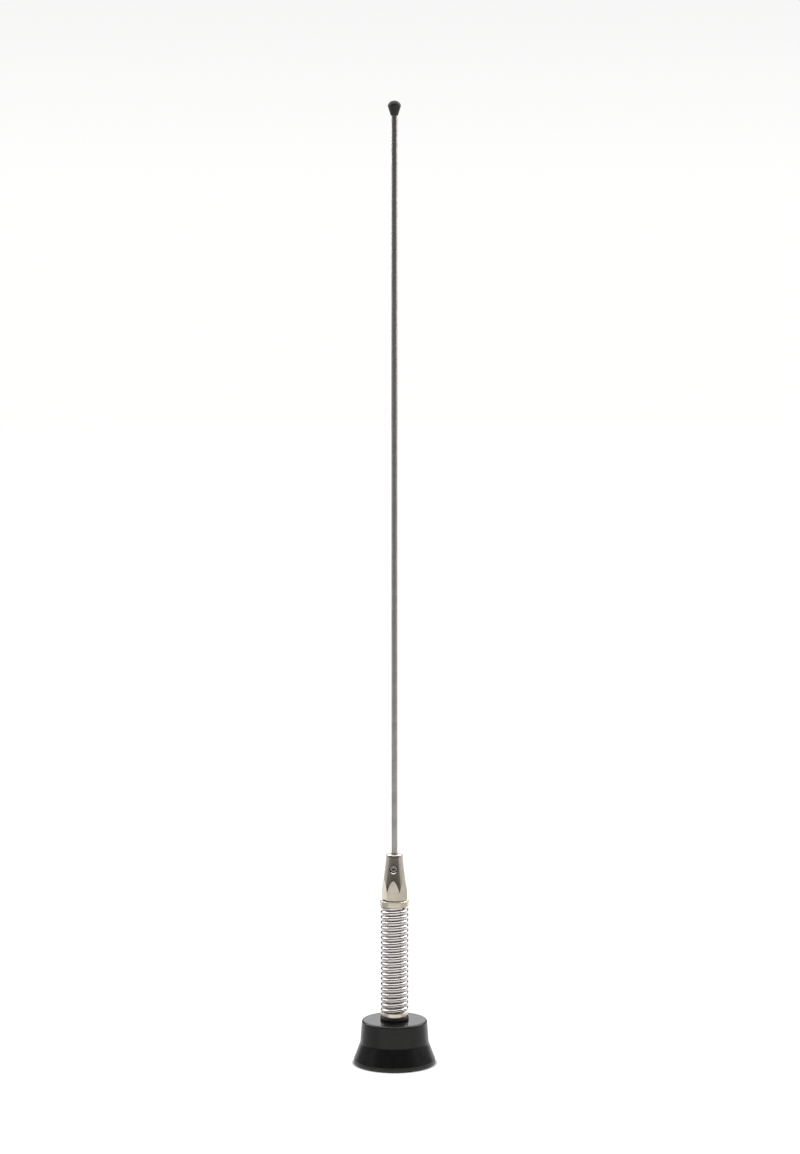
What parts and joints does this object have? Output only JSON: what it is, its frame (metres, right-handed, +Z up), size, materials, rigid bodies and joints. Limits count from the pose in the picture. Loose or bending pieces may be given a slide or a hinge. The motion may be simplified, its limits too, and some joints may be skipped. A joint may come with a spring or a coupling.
{
  "type": "omnidirectional antenna",
  "caption": "Vertical whip antenna for a vehicle roof: flared black screw-on base, flexing coil spring, hexagonal whip holder with a set screw, slim steel whip and ball tip.",
  "frame": {"origin": "centre of the base's lower face, where the gasket lies on the roof", "axes": "+Z up along the whip, towards the tip; the set screw faces -Y, 6 degrees towards -X"},
  "size_m": [0.04, 0.04, 0.4688],
  "materials": {
    "base_plastic": "black moulded plastic, low sheen",
    "seal_rubber": "black moulded rubber",
    "tip_vinyl": "black soft vinyl",
    "insulator_plastic": "natural moulded plastic",
    "brass": "machined brass",
    "gold_plate": "gold-plated brass",
    "copper_wire": "enamelled copper wire",
    "nickel_plate": "bright nickel over turned brass",
    "spring_chrome": "bright chrome over steel wire",
    "tinned_metal": "tinned copper",
    "satin_steel": "satin stainless steel, drawn",
    "dark_steel": "plain stainless steel"
  },
  "bodies": {
    "base": {"base_housing": "base_plastic", "base_gasket": "seal_rubber", "threaded_ring": "brass", "contact_insulator": "insulator_plastic", "coil_former": "insulator_plastic", "matching_coil": "copper_wire", "coil_tap_lug": "tinned_metal", "base_stud": "brass", "stud_nut": "nickel_plate", "contact_spring": "spring_chrome", "contact_retainer": "brass", "ferrule_washer": "seal_rubber", "spring_bottom_ferrule": "nickel_plate", "braid_bottom_sleeve": "tinned_metal"},
    "spring": {"flex_spring": "spring_chrome", "shunt_braid": "tinned_metal"},
    "whip_mount": {"spring_top_ferrule": "nickel_plate", "braid_top_sleeve": "tinned_metal", "whip_holder": "nickel_plate"},
    "clamp_screw": {"set_screw": "dark_steel"},
    "whip": {"whip_rod": "satin_steel", "tip_cap": "tip_vinyl"},
    "contact": {"contact_pin": "gold_plate"}
  },
  "joints": [
    {"name": "spring_flex_fore_aft", "type": "hinge", "parent": "base", "child": "spring", "pos_m": [0, 0, 0.04315], "axis": [1, 0, 0], "range_deg": [-45, 45], "stiffness_Nm_per_rad": 0.37, "deforming": ["flex_spring", "shunt_braid"]},
    {"name": "spring_flex_sideways", "type": "hinge", "parent": "spring", "child": "whip_mount", "pos_m": [0, 0, 0.06185], "axis": [0, 1, 0], "range_deg": [-45, 45], "stiffness_Nm_per_rad": 0.37},
    {"name": "whip_height_adjust", "type": "slide", "parent": "whip_mount", "child": "whip", "axis": [0, 0, 1], "range_m": [0, 0.004]},
    {"name": "set_screw_travel", "type": "slide", "parent": "whip_mount", "child": "clamp_screw", "axis": [-0.1045, -0.9945, 0], "range_m": [0, 0.0015]},
    {"name": "contact_pin_travel", "type": "slide", "parent": "base", "child": "contact", "axis": [0, 0, 1], "range_m": [0, 0.001], "stiffness_N_per_m": 200, "deforming": ["contact_spring"]}
  ]
}
